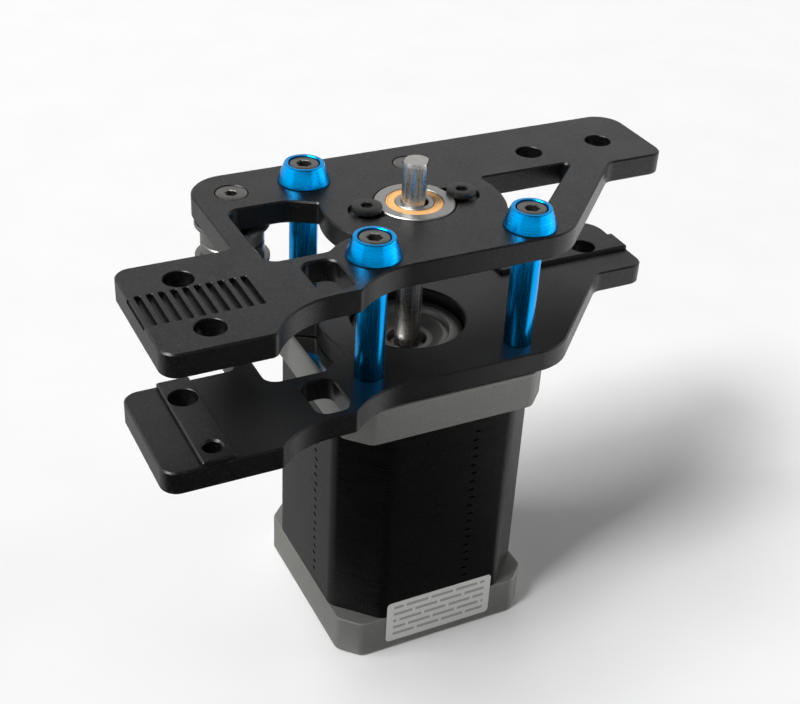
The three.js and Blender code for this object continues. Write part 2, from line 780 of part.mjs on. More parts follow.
function buildPlates() {
  const group = new THREE.Group();
  addPart(group, 'top_plate', makeUpperPlate(), MATERIALS.plate);
  addPart(group, 'bottom_plate', makeLowerPlate(), MATERIALS.plate);
  return group;
}

function buildClamps() {
  const group = new THREE.Group();
  const seat = UPPER_PLATE_TOP + CONE.seat;
  for (const [place, [x, y]] of Object.entries(CLAMP_PLACES)) {
    addPart(group, `standoff_${place}`, makeStandoff(), MATERIALS.blue, [x, y, LOWER_PLATE_TOP]);
    addPart(group, `cone_washer_${place}`, makeConeWasher(), MATERIALS.blue, [x, y, UPPER_PLATE_TOP]);
    const screw = makeCapScrew(seat - SCREW_END);
    addPart(group, `clamp_screw_${place}`, screw, MATERIALS.blackSteel, [x, y, seat]);
  }
  const flush = makeCountersunkScrew(LOWER_PLATE_TOP - SCREW_END);
  addPart(group, 'motor_screw_right_back', flush, MATERIALS.blackSteel, [...FOURTH_CORNER, LOWER_PLATE_TOP]);
  return group;
}

function buildSupportBearing() {
  const group = new THREE.Group();
  const size = BEARINGS.support;
  const flangeTop = UPPER_PLATE_TOP - FLANGE_RECESS_DEPTH + FLANGE_WIDTH.support;
  group.position.z = flangeTop - size.width;
  const outerRing = makeOuterRing(size, FLANGE_WIDTH.support);
  addPart(group, 'support_bearing_outer_ring', outerRing, MATERIALS.steel);
  addPart(group, 'support_bearing_inner_ring', makeInnerRing(size), MATERIALS.steel);
  addPart(group, 'support_bearing_ball_set', makeBallSet(size), MATERIALS.steel);
  addPart(group, 'support_bearing_seal_lower', makeSeal(size), MATERIALS.seal, [0, 0, 0.15]);
  addPart(group, 'support_bearing_seal_upper', makeSeal(size), MATERIALS.seal, [0, 0, size.width - 0.55]);
  for (const [side, x] of [['left', -EAR_X], ['right', EAR_X]]) {
    const name = `bearing_retaining_screw_${side}`;
    addPart(group, name, makeRetainingScrew(), MATERIALS.blackSteel, [x, 0, size.width + 0.02]);
  }
  return group;
}

function buildMotorBody() {
  const group = new THREE.Group();
  addPart(group, 'motor_rear_cap', makeRearCap(), MATERIALS.castAluminium);
  addPart(group, 'motor_stator_core', makeStator(), MATERIALS.lamination);
  addPart(group, 'motor_front_flange', makeFrontFlange(), MATERIALS.castAluminium);
  addPart(group, 'motor_windings', makeWindings(), MATERIALS.copper);
  const names = ['right_back', 'left_back', 'left_front', 'right_front'];
  CORNERS.forEach(([x, y], k) => {
    const name = `motor_tie_screw_${names[k]}`;
    addPart(group, name, makeTieScrew(), MATERIALS.blackSteel, [x, y, SCREW_HEAD_DEPTH]);
  });
  addPart(group, 'motor_connector_socket', makeSocket(), MATERIALS.socket);
  addPart(group, 'motor_terminal_board', makeTerminalBoard(), MATERIALS.board);
  const face = MOTOR_SIDE / 2;
  const label = block([-12, -face - 0.16, 2], [11.8, -face - 0.01, 12.3]);
  addPart(group, 'motor_label', label, MATERIALS.label);
  addPart(group, 'preload_wave_washer', makeWaveWasher(), MATERIALS.steel, [0, 0, 1.74]);
  return group;
}

function buildMotorBearings() {
  const group = new THREE.Group();
  const places = { rear: REAR_BEARING_Z, front: FRONT_BEARING_Z };
  for (const [place, z] of Object.entries(places)) {
    const size = BEARINGS.motor;
    const prefix = `motor_${place}_bearing`;
    addPart(group, `${prefix}_outer_ring`, makeOuterRing(size), MATERIALS.steel, [0, 0, z]);
    addPart(group, `${prefix}_inner_ring`, makeInnerRing(size), MATERIALS.steel, [0, 0, z]);
    addPart(group, `${prefix}_ball_set`, makeBallSet(size), MATERIALS.steel, [0, 0, z]);
  }
  return group;
}

function buildRotor() {
  const group = new THREE.Group();
  const coreHeight = (ROTOR.high - ROTOR.low - ROTOR.magnet) / 2 - ROTOR.step;
  const magnetZ = ROTOR.low + coreHeight + ROTOR.step;
  const frontZ = magnetZ + ROTOR.magnet + ROTOR.step;
  addPart(group, 'motor_shaft', makeShaft(), MATERIALS.steel);
  addPart(group, 'rotor_core_rear', makeRotorCore(coreHeight, 0), MATERIALS.magnet, [0, 0, ROTOR.low]);
  addPart(group, 'rotor_magnet', makeMagnet(), MATERIALS.magnet, [0, 0, magnetZ]);
  addPart(group, 'rotor_core_front', makeRotorCore(coreHeight, 0.5), MATERIALS.magnet, [0, 0, frontZ]);
  return group;
}

function buildIdler(side, [x, y]) {
  const group = new THREE.Group();
  group.position.set(x, y, 0);
  const size = BEARINGS.idler;
  const lowerZ = IDLER.collarTop;
  const upperZ = lowerZ + size.width;
  const washerZ = upperZ + size.width;
  const ring = makeOuterRing(size, FLANGE_WIDTH.idler);
  const turnedOver = ring.rotate([180, 0, 0]).translate([0, 0, size.width]);
  const rings = { lower: [lowerZ, turnedOver], upper: [upperZ, ring] };
  addPart(group, `idler_${side}_sleeve`, makeIdlerSleeve(), MATERIALS.steel, [0, 0, LOWER_PLATE_TOP]);
  for (const [level, [z, outerRing]] of Object.entries(rings)) {
    const prefix = `idler_${side}_${level}`;
    addPart(group, `${prefix}_outer_ring`, outerRing, MATERIALS.steel, [0, 0, z]);
    addPart(group, `${prefix}_inner_ring`, makeInnerRing(size), MATERIALS.steel, [0, 0, z]);
    addPart(group, `${prefix}_ball_set`, makeBallSet(size), MATERIALS.steel, [0, 0, z]);
  }
  const washer = makeIdlerWasher(UPPER_PLATE_Z - washerZ);
  addPart(group, `idler_${side}_top_washer`, washer, MATERIALS.blackSteel, [0, 0, washerZ]);
  const screw = makeCountersunkScrew(UPPER_PLATE_TOP - LOWER_PLATE_Z - 0.5);
  addPart(group, `idler_${side}_screw`, screw, MATERIALS.blackSteel, [0, 0, UPPER_PLATE_TOP]);
  return group;
}

const assembly = new THREE.Group();
assembly.add(buildPlates(), buildClamps(), buildSupportBearing());
assembly.add(buildMotorBody(), buildMotorBearings(), buildRotor());
for (const [side, place] of Object.entries(IDLER_PLACES)) {
  assembly.add(buildIdler(side, place));
}

export default assembly;
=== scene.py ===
"""Belt-drive motor mount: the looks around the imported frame.

Lengths below are millimetres in the object's own frame (+Z along the motor shaft, origin on the
motor's rear face). They become metres when a mesh is made. Lights and the camera are in metres.
"""

import math

import bpy
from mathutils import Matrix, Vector
from mathutils.geometry import tessellate_polygon


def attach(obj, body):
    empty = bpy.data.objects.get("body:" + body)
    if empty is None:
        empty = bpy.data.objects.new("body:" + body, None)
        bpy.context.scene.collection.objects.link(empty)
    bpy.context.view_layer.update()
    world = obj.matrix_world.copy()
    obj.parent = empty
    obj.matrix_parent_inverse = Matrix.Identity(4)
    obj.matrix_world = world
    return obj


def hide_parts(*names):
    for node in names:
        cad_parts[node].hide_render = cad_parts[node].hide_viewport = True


MM = 0.001

# ------------------------------------------------------------------ driving dimensions
MOTOR_SIDE = 42.3
STATOR_SIDE = 42.0
HALF_PITCH = 15.5
REAR_CAP_TOP = 8.7
STATOR_TOP = 52.9
MOTOR_TOP = 60.5
PILOT_TOP = 62.5
LOWER_TOP = 65.0
UPPER_LOW = 85.0
UPPER_TOP = 89.5
PLATE_THICKNESS = 4.5
PLATE_CHAMFER = 0.3
HOLE_CHAMFER = 0.12
M3_HOLE = 1.65
M5_HOLE = 2.65
SHAFT_RADIUS = 2.5
SHAFT_TOP = 97.9
SHAFT_FLAT_START = 72.5
SHAFT_FLAT_DISTANCE = 2.0
SHAFT_FLAT_DIRECTION = -34.6
SCREW_END = 55.2
SEAT_TOP = UPPER_TOP + 0.6
BEARING_LOW = 85.7
BEARING_TOP = 89.7
FLANGE_CORNER_CUT = 4.4
REAR_CAP_CORNER_CUT = 3.9
STATOR_CORNER_CUT = 8.0
CAST_CORNER_RADIUS = 2.4
STATOR_CORNER_RADIUS = 3.2
PILOT_RADIUS = 11.0
BEARING_HOLE = 6.6
SCREW_POCKET = {"radius": 3.1, "depth": 1.2}
IDLER_LOW = 76.1
IDLER_RING_WIDTH = 4.0
END_GAP = 0.02  # keeps rings that turn on their own clear of each other
CLAMP_PLACES = {
    "left_back": (-HALF_PITCH, HALF_PITCH),
    "left_front": (-HALF_PITCH, -HALF_PITCH),
    "right_front": (HALF_PITCH, -HALF_PITCH),
}
FOURTH_CORNER = (HALF_PITCH, HALF_PITCH)
MOTOR_CORNERS = {**CLAMP_PLACES, "right_back": FOURTH_CORNER}
IDLER_PLACES = {"left": (-30.0, 15.2), "right": (6.3, 15.5)}
EAR_X = 9.7


# ------------------------------------------------------------------ outlines
def arc(cx, cy, radius, start, end, step=5):
    count = max(2, math.ceil(abs(end - start) / step))
    angles = [math.radians(start + (end - start) * k / count) for k in range(count + 1)]
    return [Vector((cx + radius * math.cos(a), cy + radius * math.sin(a))) for a in angles]


def circle(x, y, radius, count=48):
    return arc(x, y, radius, 0, 360, 360 / count)[:-1]


def rounded_corner(before, at, after, radius):
    """The arc that rounds the corner at, between the points before and after it."""
    to_before = (before - at).normalized()
    to_after = (after - at).normalized()
    half = math.acos(max(-1.0, min(1.0, to_before.dot(to_after)))) / 2
    centre = at + (to_before + to_after).normalized() * (radius / math.sin(half))
    reach = radius / math.tan(half)
    first = at + to_before * reach - centre
    last = at + to_after * reach - centre
    start = math.degrees(math.atan2(first.y, first.x))
    sweep = math.degrees(math.atan2(last.y, last.x)) - start
    sweep = (sweep + 180) % 360 - 180
    return arc(centre.x, centre.y, radius, start, start + sweep)


def outline(pieces):
    """Pieces are corners (x, y, radius) or lists of points that arc() made."""
    points = []
    for k, piece in enumerate(pieces):
        if isinstance(piece, list):
            points += piece
            continue
        before, after = pieces[k - 1], pieces[(k + 1) % len(pieces)]
        before = before[-1] if isinstance(before, list) else Vector(before[:2])
        after = after[0] if isinstance(after, list) else Vector(after[:2])
        points += rounded_corner(before, Vector(piece[:2]), after, piece[2])
    return points


def rectangle(x0, y0, x1, y1, radius):
    return outline([(x0, y0, radius), (x1, y0, radius), (x1, y1, radius), (x0, y1, radius)])


def area(points):
    pairs = zip(points, points[1:] + points[:1])
    return sum(a.x * b.y - b.x * a.y for a, b in pairs) / 2


def grown(points, distance):
    """The anticlockwise outline moved outwards by distance (inwards where it is negative)."""
    moved = []
    for k, point in enumerate(points):
        ahead = (points[(k + 1) % len(points)] - point).normalized()
        behind = (point - points[k - 1]).normalized()
        normal_a = Vector((ahead.y, -ahead.x))
        normal_b = Vector((behind.y, -behind.x))
        mitre = (normal_a + normal_b).normalized()
        moved.append(point + mitre * (distance / max(0.4, mitre.dot(normal_a))))
    return moved


# ------------------------------------------------------------------ meshes
SHARP_ANGLE = math.radians(28)


def mesh_object(name, points, faces, material, at=(0, 0, 0)):
    mesh = bpy.data.meshes.new(name)
    mesh.from_pydata([Vector(p) * MM for p in points], [], faces)
    mesh.validate()
    mesh.shade_smooth()
    mesh.set_sharp_from_angle(angle=SHARP_ANGLE)
    obj = bpy.data.objects.new(name, mesh)
    obj.location = Vector(at) * MM
    bpy.context.scene.collection.objects.link(obj)
    if material is not None:
        mesh.materials.append(material)
    return obj


def stack(name, points, levels, material=None):
    """A closed prism: levels are (growth of the outline, height), from the bottom up."""
    if area(points) < 0:
        points = points[::-1]
    count = len(points)
    verts = []
    for growth, z in levels:
        ring = grown(points, growth) if growth else points
        verts += [(p.x, p.y, z) for p in ring]
    faces = []
    for level in range(len(levels) - 1):
        low, high = level * count, (level + 1) * count
        for k in range(count):
            after = (k + 1) % count
            faces.append((low + k, low + after, high + after, high + k))
    for first, upwards in ((0, False), ((len(levels) - 1) * count, True)):
        ring = [Vector(verts[first + k]) for k in range(count)]
        for a, b, c in tessellate_polygon([ring]):
            turn = (ring[b] - ring[a]).cross(ring[c] - ring[a]).z > 0
            triangle = (a, b, c) if turn == upwards else (a, c, b)
            faces.append(tuple(first + k for k in triangle))
    return mesh_object(name, verts, faces, material)


def radius_at(spec, angle):
    """A station's radius: a number, or a shape that has one radius in every direction."""
    if not isinstance(spec, tuple):
        return spec
    kind, *size = spec
    if kind == "hex":
        turn = (math.degrees(angle) + 30) % 60 - 30
        return size[0] / 2 / math.cos(math.radians(turn))
    if kind == "cross":
        turn = math.radians((math.degrees(angle) + 45) % 90 - 45)
        return min(size[0], size[1] / max(1e-6, abs(math.sin(turn))))
    turn = math.cos(angle - math.radians(size[2]))
    return min(size[0], size[1] / turn) if turn > 0 else size[0]


def lathe(name, profile, material=None, at=(0, 0, 0), segments=72, closed=False):
    """Stations of (radius, height), from the lower axis round the outside to the upper axis."""
    verts, rings, faces = [], [], []
    for spec, z in profile:
        if spec == 0:
            rings.append([len(verts)] * segments)
            verts.append((0, 0, z))
            continue
        rings.append(range(len(verts), len(verts) + segments))
        for k in range(segments):
            angle = 2 * math.pi * k / segments
            radius = radius_at(spec, angle)
            verts.append((radius * math.cos(angle), radius * math.sin(angle), z))
    pairs = list(zip(rings, rings[1:]))
    if closed:
        pairs.append((rings[-1], rings[0]))
    for low, high in pairs:
        for k in range(segments):
            after = (k + 1) % segments
            face = [low[k], low[after], high[after], high[k]]
            face = [v for j, v in enumerate(face) if v != face[j - 1]]
            if len(face) > 2:
                faces.append(face)
    return mesh_object(name, verts, faces, material, at)


def merged(name, objects):
    """One object from several whose solids don't touch."""
    verts, faces = [], []
    for obj in objects:
        start = len(verts)
        verts += [obj.matrix_basis @ v.co / MM for v in obj.data.vertices]
        faces += [[start + k for k in p.vertices] for p in obj.data.polygons]
        bpy.data.objects.remove(obj)
    return mesh_object(name, verts, faces, None)


def carve(obj, operation, tool):
    """Applies a boolean of obj with tool, and removes tool."""
    modifier = obj.modifiers.new("carve", "BOOLEAN")
    modifier.operation = operation
    modifier.solver = "EXACT"
    modifier.object = tool
    bpy.context.view_layer.update()
    evaluated = obj.evaluated_get(bpy.context.evaluated_depsgraph_get())
    mesh = bpy.data.meshes.new_from_object(evaluated)
    obj.modifiers.clear()
    obj.data = mesh
    mesh.shade_smooth()
    mesh.set_sharp_from_angle(angle=SHARP_ANGLE)
    bpy.data.objects.remove(tool)


def place(obj, body, slot, *nodes):
    """The piece rides on a body and stands for CAD nodes, which it hides; the slot is not used."""
    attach(obj, body)
    if nodes:
        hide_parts(*nodes)
    return obj


# ------------------------------------------------------------------ material nodes
class Nodes:
    """Short calls for building one material's node tree."""

    def __init__(self, name):
        self.material = bpy.data.materials.new(name)
        self.material.use_nodes = True
        self.tree = self.material.node_tree
        self.bsdf = self.tree.nodes["Principled BSDF"]
        self.place = self.new("ShaderNodeTexCoord").outputs["Object"]

    def new(self, kind, **settings):
        node = self.tree.nodes.new(kind)
        for key, value in settings.items():
            setattr(node, key, value)
        return node

    def link(self, source, target):
        self.tree.links.new(source, target)

    def put(self, socket, value):
        if isinstance(value, bpy.types.NodeSocket):
            self.link(value, socket)
        else:
            socket.default_value = value

    def noise(self, size, detail=3, roughness=0.5, stretch=(1, 1, 1)):
        """Noise whose features are about size millimetres across."""
        scaling = self.new("ShaderNodeMapping")
        scaling.inputs["Scale"].default_value = stretch
        self.link(self.place, scaling.inputs["Vector"])
        node = self.new("ShaderNodeTexNoise")
        node.inputs["Scale"].default_value = 1 / (size * MM)
        node.inputs["Detail"].default_value = detail
        node.inputs["Roughness"].default_value = roughness
        self.link(scaling.outputs["Vector"], node.inputs["Vector"])
        return node.outputs["Fac"]

    def remap(self, value, low, high, start=0.3, end=0.7):
        """The value's range from start to end, spread from low to high."""
        node = self.new("ShaderNodeMapRange")
        self.link(value, node.inputs["Value"])
        for key, number in zip(("From Min", "From Max", "To Min", "To Max"), (start, end, low, high)):
            node.inputs[key].default_value = number
        return node.outputs["Result"]

    def math(self, operation, a, b=0.0):
        node = self.new("ShaderNodeMath", operation=operation)
        self.put(node.inputs[0], a)
        self.put(node.inputs[1], b)
        return node.outputs[0]

    def mix(self, factor, a, b):
        node = self.new("ShaderNodeMix", data_type="RGBA")
        self.put(node.inputs["Factor"], factor)
        for socket, colour in ((node.inputs[6], a), (node.inputs[7], b)):
            self.put(socket, colour if isinstance(colour, bpy.types.NodeSocket) else (*colour, 1))
        return node.outputs[2]

    def separate(self):
        """The point's x, y and z in millimetres."""
        scaled = self.new("ShaderNodeVectorMath", operation="SCALE")
        scaled.inputs["Scale"].default_value = 1 / MM
        self.link(self.place, scaled.inputs[0])
        node = self.new("ShaderNodeSeparateXYZ")
        self.link(scaled.outputs[0], node.inputs[0])
        return node.outputs

    def rings(self, pitch):
        """Turning marks round the piece's own axis, pitch millimetres apart."""
        x, y, z = self.separate()
        square = self.math("ADD", self.math("MULTIPLY", x, x), self.math("MULTIPLY", y, y))
        radius = self.math("SQRT", square)
        phase = self.math("MULTIPLY", self.math("ADD", radius, z), 2 * math.pi / pitch)
        return self.math("SINE", phase)

    def bump(self, height, depth, after=None):
        """Relief depth millimetres deep."""
        node = self.new("ShaderNodeBump")
        node.inputs["Strength"].default_value = 1.0
        node.inputs["Distance"].default_value = depth * MM
        self.link(height, node.inputs["Height"])
        if after is not None:
            self.link(after, node.inputs["Normal"])
        return node.outputs["Normal"]

    def finish(self, color, roughness, metallic=0.0, normal=None, **more):
        inputs = self.bsdf.inputs
        self.put(inputs["Base Color"], color if isinstance(color, bpy.types.NodeSocket) else (*color, 1))
        self.put(inputs["Roughness"], roughness)
        self.put(inputs["Metallic"], metallic)
        if normal is not None:
            self.link(normal, inputs["Normal"])
        for key, value in more.items():
            self.put(inputs[key.replace("_", " ")], value)
        return self.material


# ------------------------------------------------------------------ materials
WARM_GREY = (1, 0.985, 0.955)
LABEL = {"left": -11.9, "right": 11.7, "low": 2.05, "high": 12.25, "radius": 0.9}
LABEL_BARS = {
    "start": 3.0, "pitch": 1.75, "length": 5.6,
    "thickness": 0.4, "shift": 0.37, "gap": 0.12,  # shares of the pitch and of the length
    "centre": -0.1, "reach": 10.3, "low": 3.05, "high": 11.7,
}


def make_black_anodised():
    n = Nodes("black_anodised_plate")
    grain = n.noise(0.38, detail=5, roughness=0.85)
    cloud = n.noise(9.0, detail=2)
    color = n.mix(n.remap(grain, 0, 1), (0.001, 0.001, 0.0012), (0.004, 0.0042, 0.0046))
    # Bright specks mixed into the colour are painted glints that stand in for the sparkle of the grain.
    color = n.mix(n.remap(grain, 0, 1, 0.55, 0.64), color, (0.05, 0.05, 0.051))
    color = n.mix(n.remap(cloud, 0, 0.3), color, (0.003, 0.003, 0.0034))
    rough = n.math("ADD", n.remap(grain, 0.42, 0.26), n.remap(cloud, -0.02, 0.03))
    return n.finish(color, rough, normal=n.bump(grain, 0.02))


def make_blue_anodised(name, stretch, relief):
    """Bright blue anodising; the stretch says which way the machining streaks run."""
    n = Nodes(name)
    streak = n.noise(0.4, detail=4, stretch=stretch)
    color = n.mix(n.remap(streak, 0, 1), (0.0, 0.36, 0.9), (0.0, 0.43, 1.0))
    rough = n.remap(streak, 0.22, 0.3)
    return n.finish(color, rough, metallic=1.0, normal=n.bump(streak, relief))


def make_dark_steel():
    n = Nodes("dark_screw_steel")
    mottle = n.noise(0.5, detail=5, roughness=0.6)
    color = n.mix(n.remap(mottle, 0, 1), (0.17, 0.165, 0.155), (0.26, 0.25, 0.235))
    marks = n.bump(n.rings(0.16), 0.0012)
    return n.finish(color, n.remap(mottle, 0.3, 0.44), metallic=1.0, normal=n.bump(mottle, 0.005, marks))


def make_black_oxide():
    n = Nodes("black_oxide_steel")
    mottle = n.noise(0.5, detail=5, roughness=0.6)
    color = n.mix(n.remap(mottle, 0, 1), (0.006, 0.006, 0.006), (0.016, 0.016, 0.015))
    return n.finish(color, n.remap(mottle, 0.3, 0.42), metallic=0.1, normal=n.bump(mottle, 0.005))


def make_steel(name, dark, light, rough, grind):
    """Ground steel: fine streaks round the axis in its tone and roughness, and turning marks in its
    relief.
    """
    n = Nodes(name)
    streak = n.noise(0.35, detail=4, stretch=(1, 1, 6))
    shades = [[shade * warmth for warmth in WARM_GREY] for shade in (dark, light)]
    color = n.mix(n.remap(streak, 0, 1), *shades)
    marks = n.bump(n.rings(0.12), grind)
    return n.finish(color, n.remap(streak, *rough), metallic=1.0, normal=marks)


def make_ground_steel():
    n = Nodes("ground_steel")
    band = n.noise(0.5, detail=4, stretch=(1, 1, 0.04))
    ring = n.noise(0.3, detail=3, stretch=(0.2, 0.2, 3))
    # The vertical bands of lighter and darker tone are painted reflection streaks along the shaft; the
    # roughness and relief bands are real surface texture.
    color = n.mix(n.remap(band, 0, 1), (0.46, 0.45, 0.435), (0.58, 0.57, 0.55))
    rough = n.math("ADD", n.remap(band, 0.2, 0.34), n.remap(ring, -0.04, 0.05))
    relief = n.bump(ring, 0.002, n.bump(band, 0.003))
    return n.finish(color, rough, metallic=1.0, normal=relief)


def make_orange_seal():
    n = Nodes("orange_seal")
    grain = n.noise(0.2, detail=3)
    color = n.mix(n.remap(grain, 0, 1), (0.90, 0.47, 0.16), (1.0, 0.58, 0.22))
    return n.finish(color, n.remap(grain, 0.42, 0.55), normal=n.bump(grain, 0.004))


def make_cast_aluminium():
    n = Nodes("cast_aluminium")
    grit = n.noise(0.25, detail=5, roughness=0.7)
    pit = n.noise(1.1, detail=3)
    cloud = n.noise(8, detail=2)
    color = n.mix(n.remap(grit, 0, 1), (0.14, 0.14, 0.131), (0.23, 0.23, 0.218))
    color = n.mix(n.remap(cloud, 0, 0.4), color, (0.18, 0.178, 0.166))
    relief = n.bump(pit, 0.03, n.bump(grit, 0.03))
    return n.finish(color, n.remap(grit, 0.42, 0.6), metallic=0.25, normal=relief)


def make_lamination_black():
    n = Nodes("black_lamination")
    smear = n.noise(0.8, detail=4, stretch=(0.15, 0.15, 4))
    speck = n.noise(0.35, detail=3, roughness=0.7)
    color = n.mix(n.remap(smear, 0, 1), (0.0012, 0.0012, 0.001), (0.004, 0.0041, 0.0035))
    color = n.mix(n.remap(speck, 0, 1, 0.70, 0.78), color, (0.07, 0.065, 0.05))
    relief = n.bump(speck, 0.004, n.bump(smear, 0.006))
    return n.finish(color, n.remap(smear, 0.26, 0.38), normal=relief, IOR=1.33)


def make_label():
    """Pale foil with rows of plain grey bars and nothing written on it."""
    n = Nodes("blank_label")
    x, _, z = n.separate()
    grain = n.noise(0.3, detail=2)
    rows = n.math("DIVIDE", n.math("SUBTRACT", z, LABEL_BARS["start"]), LABEL_BARS["pitch"])
    height = n.math("ABSOLUTE", n.math("SUBTRACT", n.math("FRACT", rows), 0.5))
    shift = n.math("MULTIPLY", n.math("FLOOR", rows), LABEL_BARS["shift"])
    along = n.math("FRACT", n.math("ADD", n.math("DIVIDE", x, LABEL_BARS["length"]), shift))
    bar = n.math("GREATER_THAN", along, LABEL_BARS["gap"])
    across = n.math("SUBTRACT", x, LABEL_BARS["centre"])
    limits = (
        n.math("LESS_THAN", height, LABEL_BARS["thickness"] / 2),
        n.math("LESS_THAN", n.math("ABSOLUTE", across), LABEL_BARS["reach"]),
        n.math("LESS_THAN", z, LABEL_BARS["high"]),
        n.math("GREATER_THAN", z, LABEL_BARS["low"]),
    )
    for inside in limits:
        bar = n.math("MULTIPLY", bar, inside)
    paper = n.mix(n.remap(grain, 0, 1), (0.56, 0.56, 0.545), (0.64, 0.64, 0.625))
    color = n.mix(n.math("MULTIPLY", bar, 0.6), paper, (0.13, 0.13, 0.135))
    return n.finish(color, n.remap(grain, 0.35, 0.5), normal=n.bump(grain, 0.004))


def make_plain(name, dark, light, size, rough, metallic=0.0, depth=0.01):
    """A finish with one grain: colour, roughness and relief vary together."""
    n = Nodes(name)
    grain = n.noise(size, detail=4, roughness=0.6)
    color = n.mix(n.remap(grain, 0, 1), dark, light)
    return n.finish(color, n.remap(grain, *rough), metallic=metallic, normal=n.bump(grain, depth))


def make_materials():
    return {
        "plate": make_black_anodised(),
        "blue_cone": make_blue_anodised("blue_anodised_cone", (0.06, 0.06, 1), 0.0015),
        "blue_tube": make_blue_anodised("blue_anodised_tube", (1, 1, 0.05), 0.002),
        "screw": make_dark_steel(),
        "oxide": make_black_oxide(),
        "bearing": make_steel("bearing_steel", 0.44, 0.54, (0.38, 0.5), 0.0008),
        "idler": make_steel("idler_steel", 0.20, 0.30, (0.28, 0.4), 0.0012),
        "machined": make_steel("machined_aluminium", 0.50, 0.60, (0.1, 0.16), 0.0006),
        "turned": make_steel("turned_aluminium", 0.30, 0.38, (0.34, 0.46), 0.002),
        "ground": make_ground_steel(),
        "seal": make_orange_seal(),
        "cast": make_cast_aluminium(),
        "lamination": make_lamination_black(),
        "label": make_label(),
        "copper": make_plain(
            "copper_winding", (0.35, 0.10, 0.03), (0.6, 0.22, 0.07), 0.5, (0.3, 0.45), 0.8, 0.05,
        ),
        "iron": make_plain("rotor_iron", (0.12, 0.12, 0.125), (0.22, 0.22, 0.23), 0.4, (0.3, 0.45), 0.9),
        "ivory": make_plain("ivory_plastic", (0.62, 0.59, 0.50), (0.68, 0.65, 0.56), 0.4, (0.35, 0.5)),
        "board": make_plain("board_green", (0.012, 0.07, 0.03), (0.02, 0.10, 0.045), 0.6, (0.35, 0.5)),
    }


# ------------------------------------------------------------------ plates
SHOULDER_X = -37.3
TAB_LEFT_X = -58.5
FRONT_Y = -20.9
SCALLOP = {"x": -27.0, "y": -40.8, "radius": 15.1, "end": 94, "lead": 9}
UPPER_PLATE = {
    "back": 23.0, "tab_back": -4.9, "tab_front": -33.1,
    "rib": 41.9, "right_front": 2.0, "right": 57.3,
}
LOWER_PLATE = {
    "back": 22.4, "tab_back": -5.2, "tab_front": -30.3,
    "rib": 43.1, "right_front": 0.6, "right": 55.8,
}
UPPER_BOLTS = [(-48.9, -11.4), (-49.0, -27.4), (31.2, 11.7), (47.4, 11.7)]
LEFT_KEY_X = -49.0
RIGHT_KEY_Y = 10.5
RIGHT_KEY_START = 25.0
KEY_HALF_WIDTH = 3.0
KEY_TOP = LOWER_TOP + 0.9
KEY_CHAMFER = 0.3
LEFT_KEY_BOLT = (LEFT_KEY_X, -11.4)
LEFT_KEY_PIN = (LEFT_KEY_X, -26.5)
RIGHT_KEY_BOLTS = [(30.4, RIGHT_KEY_Y), (46.4, RIGHT_KEY_Y)]
GROOVE = {
    "count": 11, "pitch": 2.0, "first": -38.8,
    "width": 1.1, "depth": 0.9, "front": -23.7, "back": -14.4,
}
LOBE_RADIUS = 7.4
POCKET = {"radius": 7.7, "depth": 0.8, "ear": 3.4, "fillet": 2.0}


def plate_outline(plate):
    """The outline of a plate, from its back left corner round the left tab to the right end."""
    rise = plate["tab_front"] - SCALLOP["y"]
    radius = SCALLOP["radius"]
    start = 180 - math.degrees(math.asin(rise / radius))
    tab_end = SCALLOP["x"] - math.sqrt(radius**2 - rise**2)
    scallop = arc(SCALLOP["x"], SCALLOP["y"], radius, start - SCALLOP["lead"], SCALLOP["end"])
    return outline([
        (SHOULDER_X, plate["back"], 7.5),
        (SHOULDER_X, plate["tab_back"], 1.5),
        (TAB_LEFT_X, plate["tab_back"], 3),
        (TAB_LEFT_X, plate["tab_front"], 3),
        (tab_end, plate["tab_front"], 1.5),
        scallop,
        (-22.2, -25.6, 1.2),
        (-16.2, FRONT_Y, 16),
        (plate["rib"] + FRONT_Y, FRONT_Y, 10),
        (plate["rib"] + plate["right_front"], plate["right_front"], 3.5),
        (plate["right"], plate["right_front"], 3),
        (plate["right"], plate["back"], 5.5),
    ])


def left_window():
    return outline([
        (-33.5, 8.7, 2.5),
        (-33.5, -11.5, 2.5),
        (-22.25, -11.5, 2.5),
        arc(-HALF_PITCH, -HALF_PITCH, LOBE_RADIUS, 130, 92),
        arc(0, 0, 17.5, 206, 165),
        (-16.55, 5.7, 0.8),
        (-21.6, 8.7, 8),
    ])


def right_window():
    return outline([
        (37.1, 5, 1),
        (16.4, 5, 0.8),
        arc(0, 0, 17.2, 11, -27),
        arc(HALF_PITCH, -HALF_PITCH, LOBE_RADIUS, 91, 40),
    ])


def small_window():
    return rectangle(-28.8, -23.9, -22.3, -13.9, 2.2)


def pocket_outline():
    """The bearing's round pocket with an ear for each retaining screw, joined by fillets."""
    main = POCKET["radius"] + POCKET["fillet"]
    ear = POCKET["ear"] + POCKET["fillet"]
    x = (EAR_X**2 + main**2 - ear**2) / (2 * EAR_X)
    y = math.sqrt(main**2 - x**2)
    main_angle = math.degrees(math.atan2(y, x))
    ear_angle = math.degrees(math.atan2(y, x - EAR_X))
    fillet = POCKET["fillet"]
    right = (
        arc(x, -y, fillet, 180 - main_angle, 180 - ear_angle)
        + arc(EAR_X, 0, POCKET["ear"], -ear_angle, ear_angle)[1:-1]
        + arc(x, y, fillet, ear_angle - 180, main_angle - 180)
    )
    top = arc(0, 0, POCKET["radius"], main_angle, 180 - main_angle)[1:-1]
    return right + top + [-p for p in right] + [-p for p in top]


def through_cutter(points, low, high, chamfer=PLATE_CHAMFER):
    """A cutter that flares at 45 degrees through both faces."""
    levels = [(chamfer + 1, low - 1), (0, low + chamfer), (0, high - chamfer), (chamfer + 1, high + 1)]
    return stack("cutter", points, levels)


def blind_cutter(points, depth, high, chamfer):
    """A cutter that ends depth below the upper face and flares at its rim."""
    levels = [(0, high - depth), (0, high - chamfer), (chamfer + 1, high + 1)]
    return stack("cutter", points, levels)


